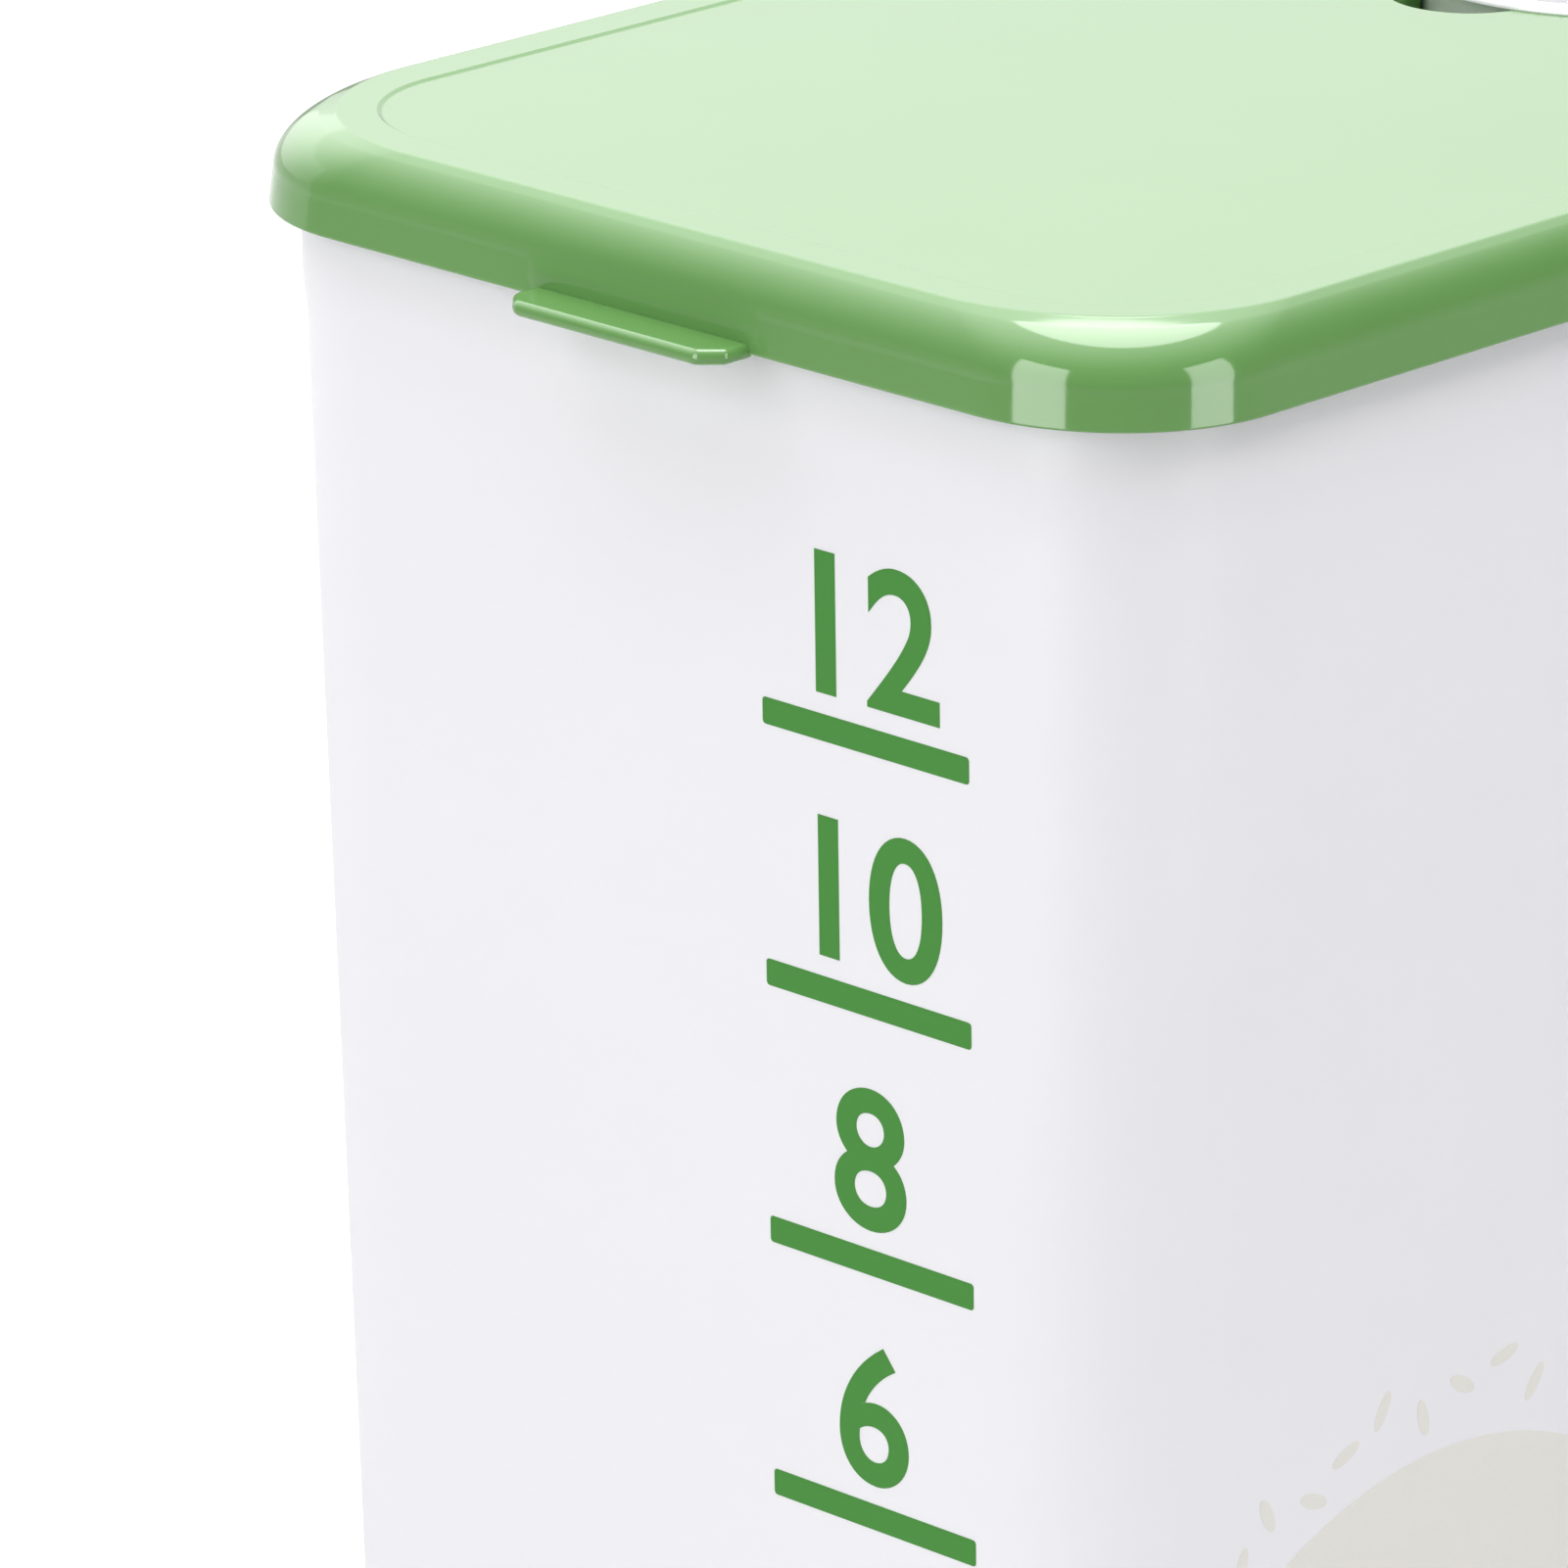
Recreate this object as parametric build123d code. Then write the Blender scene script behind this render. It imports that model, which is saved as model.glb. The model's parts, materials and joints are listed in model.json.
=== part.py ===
from build123d import *
import os
from math import cos, hypot, radians, sin, tan

# A free-standing rice bin: a tapered plastic tub under a lid that flips up on two pins at the rear edge.
# A measuring cup hangs by its flange in a well in the lid. Millimetres, +Z up, the front faces -Y.

# Lid, outside
lid_width = 205.0
lid_depth = 305.0
lid_height = 15.4
overall_height = 340.0
skirt_height = 6.0
skirt_flare = 0.5
skirt_corner_radius = 32.0
shoulder_run = 6.1
shoulder_corner_radius = 38.5
shoulder_end_angle = 70.0
panel_inset = 13.8
panel_recess = 0.4
panel_corner_radius = 27.3

# Lid, inside
lid_wall = 2.0
underside_run = 1.5
seat_thickness = 3.6

# Lift tab and the raised pad above it
tab_width = 46.7
tab_reach = 8.5
tab_thickness = 2.6
tab_drop = 0.9
tab_corner = 3.6
tab_edge_radius = 1.0
pad_width = 51.0
pad_height = 5.6
pad_thickness = 0.9
pad_corner = 1.4

# Tub
tub_inset = 4.93
tub_draft = 1.7
tub_wall = 2.2
tub_floor = 2.5
tub_corner_radius = 28.0
tub_base_corner_radius = 24.0
tub_base_round = 5.0
band_inset = 4.4
band_drop = 9.0
band_blend = 9.0
rim_edge_round = 0.7
rim_rise = 6.0

# Seal, under the lid's thick rim, and the rib that holds it from inside
seal_width = 4.0
seal_clearance = 0.3
rib_width = 1.5
rib_gap = 0.3
rib_drop = 2.0

# Hinge
hinge_from_side = 47.5
hinge_drop = 3.0
hinge_setback = 4.5
barrel_radius = 4.0
pin_radius = 2.0
ear_bore_clearance = 0.02
knuckle_bore_clearance = 0.06
ear_width = 10.0
knuckle_width = 14.0
knuckle_side_gap = 0.4
pin_end_recess = 0.5
ear_top_gap = 0.7
ear_gusset = 12.0
knuckle_rise = 8.3
knuckle_shoulder = 2.0
knuckle_front_angle = 60.0
toe_reach = 7.0
toe_start_angle = 200.0
toe_end_angle = 225.0
lid_opening_angle = 110.0
stop_gap_angle = 3.0
stop_clearance = 0.3

# Measuring cup and its well
cup_from_back = 67.2
cup_flange_radius = 36.5
cup_flange_thickness = 1.2
cup_mouth_radius = 33.8
cup_base_radius = 30.5
cup_wall = 1.6
cup_depth = 61.5
cup_seat_gap = 0.3
well_clearance = 0.7
well_wall = 1.8
well_floor_gap = 1.0
flange_rebate = 0.6
rebate_clearance = 0.5

# Finger notch beside the cup's flange
notch_radius = 13.0
notch_from_cup = 33.2
notch_offset = -4.4
notch_depth = 14.0
notch_edge_round = 0.4

# Feet
foot_radius = 10.0
foot_standoff = 2.0
foot_socket = 1.0
foot_clearance = 0.15
foot_margin = 14.0
foot_edge = 0.6

# Levels that a curved stretch is lofted through
curve_steps = 6

# How deep a piece is let into a neighbour to fuse with it, and a difference in height that counts as none
bite = 1.0
same_height = 0.01

# Places worked out from the sizes above
hinge_back = hinge_setback + max(barrel_radius, toe_reach * -cos(radians(toe_start_angle)))
lid_front = (tab_reach - lid_depth - hinge_back) / 2
lid_back = lid_front + lid_depth
lid_middle = lid_front + lid_depth / 2
skirt_bottom = overall_height - lid_height
panel_top = overall_height - panel_recess
panel_bottom = panel_top - lid_wall
seat_bottom = panel_bottom - seat_thickness
rim_top = skirt_bottom + rim_rise
axis_y = lid_back + hinge_setback
axis_z = skirt_bottom - hinge_drop
cup_y = lid_back - cup_from_back
notch_y = cup_y - notch_from_cup
rebate_bottom = panel_top - flange_rebate
flange_bottom = rebate_bottom + cup_seat_gap
cup_bottom = flange_bottom + cup_flange_thickness - cup_wall - cup_depth
well_bottom = cup_bottom - well_floor_gap
band_bottom = skirt_bottom - band_drop
blend_bottom = band_bottom - band_blend
socket_top = foot_standoff + foot_socket
rib_inner_inset = band_inset + seal_width + rib_gap + rib_width
rib_inner_radius = tub_corner_radius - seal_width - rib_gap - rib_width


def tub_inset_at(z):
    """How far the leaning wall's outside stands in from the lid's edge at a height."""
    return tub_inset + tan(radians(tub_draft)) * (skirt_bottom - z)


def outline(z, inset, radius):
    """The lid's plan shape, drawn in by inset, at a height."""
    plan = RectangleRounded(lid_width - 2 * inset, lid_depth - 2 * inset, radius)
    return Pos(0, lid_middle, z) * plan


def prism(low, high, inset, radius):
    return extrude(outline(low, inset, radius), high - low)


def straight_loft(low, high):
    """A ruled stretch between two levels, each a height, an inset and a corner radius."""
    return loft([outline(*low), outline(*high)], ruled=True)


def shoulder(low, high, inset, run, radius, radius_gain):
    """A curved stretch that leans in by run on the way up, along part of an ellipse."""
    end = radians(shoulder_end_angle)
    levels = []
    for step in range(curve_steps + 1):
        angle = end * step / curve_steps
        inward = (1 - cos(angle)) / (1 - cos(end))
        z = low + (high - low) * sin(angle) / sin(end)
        levels.append(outline(z, inset + run * inward, radius + radius_gain * inward))
    return loft(levels)


def upright(radius, low, high, x=0.0, y=0.0):
    """A round post between two heights."""
    return Pos(x, y, (low + high) / 2) * Cylinder(radius, high - low)


def cone(low_radius, high_radius, low, high, x=0.0, y=0.0):
    """A tapered round post between two heights."""
    return Pos(x, y, (low + high) / 2) * Cone(low_radius, high_radius, high - low)


def hinge_point(forward, up):
    """A point in the plane across the hinge, from distances forward of and above its axis."""
    return (axis_y - forward, axis_z + up)


def hinge_ray(angle, distance):
    """A point seen from the hinge's axis: 0 degrees is forward, 90 is up."""
    return hinge_point(distance * cos(radians(angle)), distance * sin(radians(angle)))


def across(points, width, x):
    """A flat shape in the plane across the hinge, widened about x."""
    face = make_face(Plane.YZ * Polyline(*points, close=True))
    return Pos(x - width / 2, 0, 0) * extrude(face, width, dir=(1, 0, 0))


def barrel(radius, width, x):
    """A cylinder along the hinge's axis, centred on x."""
    return Pos(x, axis_y, axis_z) * Rot(0, 90, 0) * Cylinder(radius, width)


def make_lid_shell():
    skirt_top = skirt_bottom + skirt_height
    radius_gain = shoulder_corner_radius - skirt_corner_radius
    skirt = straight_loft((skirt_bottom, 0, skirt_corner_radius),
                          (skirt_top, skirt_flare, skirt_corner_radius))
    crown = shoulder(skirt_top, overall_height, skirt_flare, shoulder_run - skirt_flare,
                     skirt_corner_radius, radius_gain)
    inner_radius = skirt_corner_radius - lid_wall
    inside = prism(skirt_bottom - bite, skirt_top, lid_wall, inner_radius)
    inside += straight_loft((skirt_top, lid_wall, inner_radius),
                            (seat_bottom, lid_wall + underside_run, inner_radius))
    inside += prism(seat_bottom, panel_bottom, rib_inner_inset, rib_inner_radius)
    recess = prism(panel_top, overall_height + bite, panel_inset, panel_corner_radius)
    return skirt + crown - inside - recess


def make_seal_rib():
    """The rib that holds the seal from inside."""
    outer_radius = rib_inner_radius + rib_width
    ring = prism(seat_bottom - rib_drop, seat_bottom + bite, rib_inner_inset - rib_width, outer_radius)
    return ring - prism(seat_bottom - rib_drop, seat_bottom + bite, rib_inner_inset, rib_inner_radius)


def make_well():
    """Cup well with its flange rebate, and finger notch: what hangs under the panel, and the hollow."""
    well_base = cup_base_radius + well_clearance
    well_mouth = cup_mouth_radius + well_clearance
    notch_floor = panel_top - notch_depth
    open_top = overall_height + bite
    hanging = cone(well_base + well_wall, well_mouth + well_wall,
                   well_bottom - well_wall, panel_top, 0, cup_y)
    hanging += upright(notch_radius + well_wall, notch_floor - well_wall, panel_top,
                       notch_offset, notch_y)
    hollow = cone(well_base, well_mouth, well_bottom, rebate_bottom, 0, cup_y)
    hollow += upright(cup_flange_radius + rebate_clearance, rebate_bottom, open_top, 0, cup_y)
    hollow += upright(notch_radius, notch_floor, open_top, notch_offset, notch_y)
    return hanging, hollow


def make_tab():
    """Lift tab: a flat tongue with cut corners at the middle of the front edge."""
    half = tab_width / 2
    tip = lid_front - tab_reach
    root = lid_front + bite
    corners = [(-half, root), (-half, tip + tab_corner), (-half + tab_corner, tip),
               (half - tab_corner, tip), (half, tip + tab_corner), (half, root)]
    plan = make_face(Polyline(*corners, close=True))
    tongue = extrude(Pos(0, 0, skirt_bottom - tab_drop) * plan, tab_thickness)
    free_edges = [edge for edge in tongue.edges() if edge.center().Y < lid_front - bite / 2]
    return fillet(free_edges, tab_edge_radius)


def make_pad():
    """A thin raised pad on the skirt, above the tab."""
    low = skirt_bottom + tab_thickness - tab_drop - bite
    middle = (0, lid_front + (bite - pad_thickness) / 2, low + (pad_height + bite) / 2)
    block = Pos(*middle) * Box(pad_width, pad_thickness + bite, pad_height + bite)
    top_corners = block.edges().filter_by(Axis.Y).group_by(Axis.Z)[-1]
    return fillet(top_corners, pad_corner)


def make_knuckle(x):
    """Lid knuckle: a barrel, an arm up to the skirt, and a toe that meets the tub's stop."""
    skirt_face = lid_back - bite
    arm_low = axis_z + hinge_drop + ear_top_gap
    arm_high = axis_z + knuckle_rise
    arm = [(skirt_face, arm_low), (skirt_face, arm_high), (lid_back + knuckle_shoulder, arm_high),
           hinge_ray(180, barrel_radius), hinge_point(0, 0),
           hinge_ray(knuckle_front_angle, barrel_radius)]
    toe = [hinge_point(0, 0), hinge_ray(toe_start_angle, toe_reach), hinge_ray(toe_end_angle, toe_reach)]
    knuckle = barrel(barrel_radius, knuckle_width, x)
    return knuckle + across(arm, knuckle_width, x) + across(toe, knuckle_width, x)


def make_flip_lid():
    hanging, hollow = make_well()
    lid = make_lid_shell() + make_seal_rib() + hanging + make_tab() + make_pad()
    for x in hinge_places:
        lid += make_knuckle(x)
    lid -= hollow
    for x in hinge_places:
        lid -= barrel(pin_radius + knuckle_bore_clearance, knuckle_width + 2 * bite, x)
    return fillet([edge for edge in lid.edges() if is_notch_edge(edge)], notch_edge_round)


def is_notch_edge(edge):
    """Whether an edge is part of the brim around the well and the notch, on the panel."""
    place = edge.center()
    reach = hypot(place.X, place.Y - cup_y)
    return abs(place.Z - panel_top) < same_height and reach < cup_flange_radius + notch_radius


def band_swell(grow, radius):
    """The soft step from the leaning wall out to the upright band under the lid."""
    levels = []
    for step in range(curve_steps + 1):
        way = step / curve_steps
        ease = way * way * (3 - 2 * way)
        z = blend_bottom + band_blend * way
        inset = tub_inset_at(z) * (1 - ease) + band_inset * ease
        levels.append(outline(z, inset - grow, radius))
    return loft(levels)


def make_tub_shape(grow, low, high):
    """The tub's outside, or its inside when grow is negative, from one height to another."""
    top_radius = tub_corner_radius + grow
    base_radius = tub_base_corner_radius + grow
    round_top = low + tub_base_round
    base = outline(low, tub_inset_at(low) + tub_base_round - grow, base_radius - tub_base_round)
    rounding = [base]
    for step in range(1, curve_steps + 1):
        angle = radians(90 * step / curve_steps)
        rise = tub_base_round * (1 - cos(angle))
        inward = tub_base_round * (1 - sin(angle))
        z = low + rise
        rounding.append(outline(z, tub_inset_at(z) + inward - grow, base_radius - inward))
    shape = loft(rounding)
    shape += straight_loft((round_top, tub_inset_at(round_top) - grow, base_radius),
                           (blend_bottom, tub_inset_at(blend_bottom) - grow, top_radius))
    shape += band_swell(grow, top_radius)
    return shape + prism(band_bottom, high, band_inset - grow, top_radius)


def make_ear(x):
    """Tub ear: a barrel on an arm and a gusset that run back from the rear wall."""
    wall = lid_back - band_inset - bite
    top = hinge_drop - ear_top_gap
    foot = axis_z - barrel_radius - ear_gusset
    arm = [(wall, axis_z + top), hinge_point(0, top), hinge_point(0, -barrel_radius), (wall, foot)]
    return across(arm, ear_width, x) + barrel(barrel_radius, ear_width, x)


def make_stop(x):
    """The web between two ears, whose lower face stops the lid's toe."""
    wall = lid_back - band_inset - bite
    top = hinge_drop - ear_top_gap
    face_angle = toe_end_angle + lid_opening_angle + stop_gap_angle
    forward = axis_y - wall
    near = barrel_radius + knuckle_side_gap + stop_clearance
    inner = hinge_ray(face_angle, near)
    outer = (wall, axis_z + forward * tan(radians(face_angle)))
    web_width = knuckle_width + 2 * knuckle_side_gap + 2 * bite
    return across([(wall, axis_z + top), hinge_point(near, top), inner, outer], web_width, x)


def make_foot_places():
    """Foot centres, inside the corners of the tub's flat underside."""
    inset = tub_inset_at(foot_standoff) + tub_base_round + foot_margin
    half_x = lid_width / 2 - inset
    half_y = lid_depth / 2 - inset
    return {
        "front_left": (-half_x, lid_middle - half_y),
        "front_right": (half_x, lid_middle - half_y),
        "rear_left": (-half_x, lid_middle + half_y),
        "rear_right": (half_x, lid_middle + half_y),
    }


def make_bin_body():
    tub = make_tub_shape(0, foot_standoff, rim_top)
    ear_offset = (knuckle_width + ear_width) / 2 + knuckle_side_gap
    for x in hinge_places:
        tub += make_ear(x - ear_offset)
        tub += make_ear(x + ear_offset)
        tub += make_stop(x)
    tub -= make_tub_shape(-tub_wall, foot_standoff + tub_floor, rim_top + bite)
    for x in hinge_places:
        tub -= barrel(pin_radius + ear_bore_clearance, pin_span + 2 * bite, x)
    for x, y in foot_places.values():
        tub -= upright(foot_radius + foot_clearance, foot_standoff - bite, socket_top, x, y)
    return fillet(tub.edges().group_by(Axis.Z)[-1], rim_edge_round)


def make_hinge_pin(x):
    return barrel(pin_radius, pin_span - 2 * pin_end_recess, x)


def make_lid_seal():
    low = rim_top + seal_clearance
    ring = prism(low, seat_bottom, band_inset, tub_corner_radius)
    inside_inset = band_inset + seal_width
    return ring - prism(low - bite, seat_bottom + bite, inside_inset, tub_corner_radius - seal_width)


def make_measuring_cup():
    flange_top = flange_bottom + cup_flange_thickness
    outside = cone(cup_base_radius, cup_mouth_radius, cup_bottom, flange_bottom, 0, cup_y)
    outside += upright(cup_flange_radius, flange_bottom, flange_top, 0, cup_y)
    inside = cone(cup_base_radius - cup_wall, cup_mouth_radius - cup_wall,
                  cup_bottom + cup_wall, flange_top, 0, cup_y)
    return outside - inside


def make_foot_pad(x, y):
    pad = upright(foot_radius, 0, socket_top, x, y)
    return fillet(pad.edges().group_by(Axis.Z)[0], foot_edge)


hinge_places = [hinge_from_side - lid_width / 2, lid_width / 2 - hinge_from_side]
pin_span = knuckle_width + 2 * ear_width + 2 * knuckle_side_gap
foot_places = make_foot_places()

parts = {
    "bin_body": make_bin_body(),
    "flip_lid": make_flip_lid(),
    "lid_seal": make_lid_seal(),
    "measuring_cup": make_measuring_cup(),
    "hinge_pin_left": make_hinge_pin(hinge_places[0]),
    "hinge_pin_right": make_hinge_pin(hinge_places[1]),
}
for place, (x, y) in foot_places.items():
    parts["foot_pad_" + place] = make_foot_pad(x, y)

os.makedirs("parts", exist_ok=True)
for node, shape in parts.items():
    export_step(shape, "parts/" + node + ".step")
    print(node, round(shape.volume / 1000, 2), "cm3", len(shape.solids()), "solid")
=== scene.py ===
import json
import math

import bmesh
import bpy
from mathutils import Matrix, Vector


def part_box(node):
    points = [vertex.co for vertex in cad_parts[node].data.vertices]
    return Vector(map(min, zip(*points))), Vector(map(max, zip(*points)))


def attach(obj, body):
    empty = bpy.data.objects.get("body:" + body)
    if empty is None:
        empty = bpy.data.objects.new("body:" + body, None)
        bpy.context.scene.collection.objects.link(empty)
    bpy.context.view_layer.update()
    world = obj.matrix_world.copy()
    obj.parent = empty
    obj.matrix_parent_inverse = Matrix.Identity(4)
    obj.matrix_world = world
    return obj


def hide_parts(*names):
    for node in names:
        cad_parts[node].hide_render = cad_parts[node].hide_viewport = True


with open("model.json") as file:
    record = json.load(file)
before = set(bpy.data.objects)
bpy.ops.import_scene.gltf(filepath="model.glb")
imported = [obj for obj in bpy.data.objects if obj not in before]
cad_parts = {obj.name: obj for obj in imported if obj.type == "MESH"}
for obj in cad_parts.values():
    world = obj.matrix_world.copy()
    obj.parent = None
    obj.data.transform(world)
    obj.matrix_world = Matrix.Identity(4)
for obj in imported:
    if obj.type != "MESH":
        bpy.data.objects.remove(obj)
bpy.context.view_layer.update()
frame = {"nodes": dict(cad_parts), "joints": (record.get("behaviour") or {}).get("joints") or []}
print("frame loaded with", len(frame["nodes"]), "nodes")

# Meshes are drawn in millimetres and turned to metres when they become a piece.
perMetre = 1000.0
cornerSteps = 28         # faces round each corner of the lid and tub
edgeSteps = 5            # faces round each small edge
bevelSteps = 4           # faces round each edge of a flat piece
roundBevel = 0.5         # the bevel's profile, where 0.5 is round
overlap = 1.0            # how deep a moulded-on detail is let into its parent before they are joined


def nodeBox(node):
    low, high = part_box(node)
    return low * perMetre, high * perMetre


def eased(share):
    # a share from 0 to 1 with a soft start and end
    return share * share * (3 - 2 * share)


def roundedProfile(points):
    # points: (inset, height, plan corner radius, edge round), a piece's section from one end to the other
    result = []
    for index, (inset, height, planRadius, edge) in enumerate(points):
        if not edge or index in (0, len(points) - 1):
            result.append((inset, height, planRadius))
            continue
        here = Vector((inset, height))
        sides = []
        for other in (points[index - 1], points[index + 1]):
            way = Vector(other[:2]) - here
            sides.append((way.normalized(), way.length, other[2]))
        half = sides[0][0].angle(sides[1][0]) / 2
        reach = edge / math.tan(half)
        centre = here + (sides[0][0] + sides[1][0]).normalized() * edge / math.sin(half)
        spokes = [here + way * reach - centre for way, length, radius in sides]
        radii = [planRadius + (radius - planRadius) * reach / length for way, length, radius in sides]
        sweep = spokes[0].angle_signed(spokes[1])
        for step in range(edgeSteps + 1):
            share = step / edgeSteps
            turned = spokes[0].copy()
            turned.rotate(Matrix.Rotation(-sweep * share, 2))
            spot = centre + turned
            result.append((spot.x, spot.y, radii[0] + (radii[1] - radii[0]) * share))
    return result


def circleRing(centre, radius, height, steps):
    x, y = centre[:2]
    turns = [math.tau * step / steps for step in range(steps)]
    return [(x + radius * math.cos(turn), y + radius * math.sin(turn), height) for turn in turns]


def addRing(bm, points):
    return [bm.verts.new(point) for point in points]


def bridge(bm, first, second):
    # a band of faces between two rings of as many points, which may share some of them
    for index in range(len(first)):
        corners = [first[index - 1], first[index], second[index], second[index - 1]]
        corners = [vert for place, vert in enumerate(corners) if vert not in corners[:place]]
        if len(corners) > 2:
            bm.faces.new(corners)


def stackRings(bm, rings):
    placed = [addRing(bm, ring) for ring in rings]
    for first, second in zip(placed, placed[1:]):
        bridge(bm, first, second)
    return placed[0], placed[-1]


def fillFlat(bm, loops):
    # a flat face with holes: the first loop is its outline
    edges = [bm.edges.get((loop[index - 1], loop[index])) for loop in loops for index in range(len(loop))]
    bmesh.ops.triangle_fill(bm, use_beauty=True, use_dissolve=False, edges=edges)


def extrudeOutline(points, toSpace, start, stop, rounding=0.0):
    # a flat outline carried along a third direction, its rims rounded
    bm = bmesh.new()
    ends = [addRing(bm, [toSpace(u, v, depth) for u, v in points]) for depth in (start, stop)]
    bridge(bm, *ends)
    rims = []
    for ring in ends:
        bm.faces.new(ring)
        rims += ring + [bm.edges.get((ring[index - 1], ring[index])) for index in range(len(ring))]
    bmesh.ops.recalc_face_normals(bm, faces=bm.faces)
    if rounding:
        bmesh.ops.bevel(bm, geom=rims, offset=rounding, segments=bevelSteps, profile=roundBevel,
                        affect="EDGES")
    return bm


def roundCorners(points, steps):
    # a closed outline of (x, y, corner radius) with its corners rounded
    result = []
    for index, (x, y, radius) in enumerate(points):
        here = Vector((x, y))
        if not radius:
            result.append(tuple(here))
            continue
        before = (Vector(points[index - 1][:2]) - here).normalized()
        after = (Vector(points[(index + 1) % len(points)][:2]) - here).normalized()
        half = before.angle(after) / 2
        centre = here + (before + after).normalized() * radius / math.sin(half)
        spoke = here + before * radius / math.tan(half) - centre
        sweep = spoke.angle_signed(here + after * radius / math.tan(half) - centre)
        for step in range(steps + 1):
            turned = spoke.copy()
            turned.rotate(Matrix.Rotation(-sweep * step / steps, 2))
            result.append(tuple(centre + turned))
    return result


def makeObject(name, bm):
    bmesh.ops.recalc_face_normals(bm, faces=bm.faces)
    bm.transform(Matrix.Scale(1 / perMetre, 4))
    mesh = bpy.data.meshes.new(name)
    bm.to_mesh(mesh)
    bm.free()
    piece = bpy.data.objects.new(name, mesh)
    bpy.context.scene.collection.objects.link(piece)
    return piece


def combine(piece, tools, operation):
    # joins other meshes to a piece or cuts them out of it, for good
    for bm in tools:
        tool = makeObject("tool", bm)
        modifier = piece.modifiers.new("combine", "BOOLEAN")
        modifier.operation = operation
        modifier.solver = "EXACT"
        modifier.object = tool
        graph = bpy.context.evaluated_depsgraph_get()
        made = bpy.data.meshes.new_from_object(piece.evaluated_get(graph))
        piece.modifiers.clear()
        piece.data = made
        bpy.data.objects.remove(tool)


shading = {"sharpAngle": 35.0, "flatWeight": 80}     # where an edge stays hard, and how flat wide faces look


def finishPiece(piece, material, body, nodes=()):
    mesh = piece.data
    mesh.materials.clear()
    mesh.materials.append(material)
    mesh.polygons.foreach_set("use_smooth", [True] * len(mesh.polygons))
    mesh.set_sharp_from_angle(angle=math.radians(shading["sharpAngle"]))
    flat = piece.modifiers.new("flat faces stay flat", "WEIGHTED_NORMAL")
    flat.mode = "FACE_AREA"
    flat.weight = shading["flatWeight"]
    flat.keep_sharp = True
    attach(piece, body)
    if nodes:
        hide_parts(*nodes)
    print("made", piece.name, "with", len(mesh.polygons), "faces")


def colour(code):
    # an sRGB hex value in linear light
    parts = [int(code[place:place + 2], 16) / 255 for place in (1, 3, 5)]
    return (*[part / 12.92 if part <= 0.04045 else ((part + 0.055) / 1.055) ** 2.4 for part in parts], 1.0)


def addNode(tree, kind, inputs=None, **settings):
    node = tree.nodes.new(kind)
    for name, value in settings.items():
        setattr(node, name, value)
    for name, value in (inputs or {}).items():
        if isinstance(value, bpy.types.NodeSocket):
            tree.links.new(value, node.inputs[name])
        else:
            node.inputs[name].default_value = value
    return node


# A Mix node's colour sockets have the names of its number sockets too, so they go by their places.
mixLow, mixHigh, mixResult = 6, 7, 2


def startMaterial(name):
    material = bpy.data.materials.new(name)
    material.use_nodes = True
    tree = material.node_tree
    tree.nodes.clear()
    place = addNode(tree, "ShaderNodeTexCoord")
    return material, tree, place.outputs["Object"]


def perSize(size):
    # the scale of a pattern whose features are this many millimetres apart
    return perMetre / size


fullNoise = {"From Min": 0.3, "From Max": 0.7}       # nearly all of a noise pattern lies between these


def finishMaterial(tree, look, tint, wear, skin, sockets):
    # the colour follows one pattern, the roughness another, and skin is the bump over both
    shade = addNode(tree, "ShaderNodeMix", {
        "Factor": tint.outputs["Fac"], mixLow: colour(look["low"]), mixHigh: colour(look["high"])},
        data_type="RGBA")
    smoothest, roughest = look["roughness"]
    rough = addNode(tree, "ShaderNodeMapRange", {
        **fullNoise, "Value": wear.outputs["Fac"], "To Min": smoothest, "To Max": roughest})
    shader = addNode(tree, "ShaderNodeBsdfPrincipled", {
        "Base Color": shade.outputs[mixResult],
        "Roughness": rough.outputs["Result"],
        "Normal": skin.outputs["Normal"],
        **sockets})
    addNode(tree, "ShaderNodeOutputMaterial", {"Surface": shader.outputs["BSDF"]})


# Gloss moulded polypropylene, coloured through. A polished mould leaves it smooth, so it mirrors softboxes
# crisply, with the long faint ripple of plastic that shrank as it cooled.
lidPlastic = {"low": "#649451", "high": "#689856", "rippleMm": 38.0, "rippleRiseMm": 0.012,
              "peelMm": 2.2, "peelRiseMm": 0.0006, "roughness": (0.07, 0.09)}
cupPlastic = {"low": "#f1f1f4", "high": "#f5f5f7", "rippleMm": 25.0, "rippleRiseMm": 0.008,
              "peelMm": 1.8, "peelRiseMm": 0.0008, "roughness": (0.14, 0.18)}


def glossPolypropylene(name, look):
    material, tree, place = startMaterial(name)
    flow = addNode(tree, "ShaderNodeTexNoise", {
        "Vector": place, "Scale": perSize(look["rippleMm"]), "Detail": 2.0})
    peel = addNode(tree, "ShaderNodeTexNoise", {
        "Vector": place, "Scale": perSize(look["peelMm"]), "Detail": 1.0})
    ripple = addNode(tree, "ShaderNodeBump", {
        "Height": flow.outputs["Fac"], "Distance": look["rippleRiseMm"] / perMetre, "Strength": 1.0})
    skin = addNode(tree, "ShaderNodeBump", {
        "Height": peel.outputs["Fac"], "Distance": look["peelRiseMm"] / perMetre, "Strength": 1.0,
        "Normal": ripple.outputs["Normal"]})
    finishMaterial(tree, look, flow, peel, skin, {"IOR": 1.49})
    return material


# Natural polypropylene with a little white in it, from a fine satin mould: milky, slightly blue, with soft
# highlights. The mould's real grain is about 0.1 mm, so it is drawn coarser.
tubPlastic = {"low": "#e9e8ec", "high": "#ecebef", "flowMm": 60.0, "grainMm": 0.9, "grainRiseMm": 0.004,
              "roughness": (0.36, 0.42)}


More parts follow.
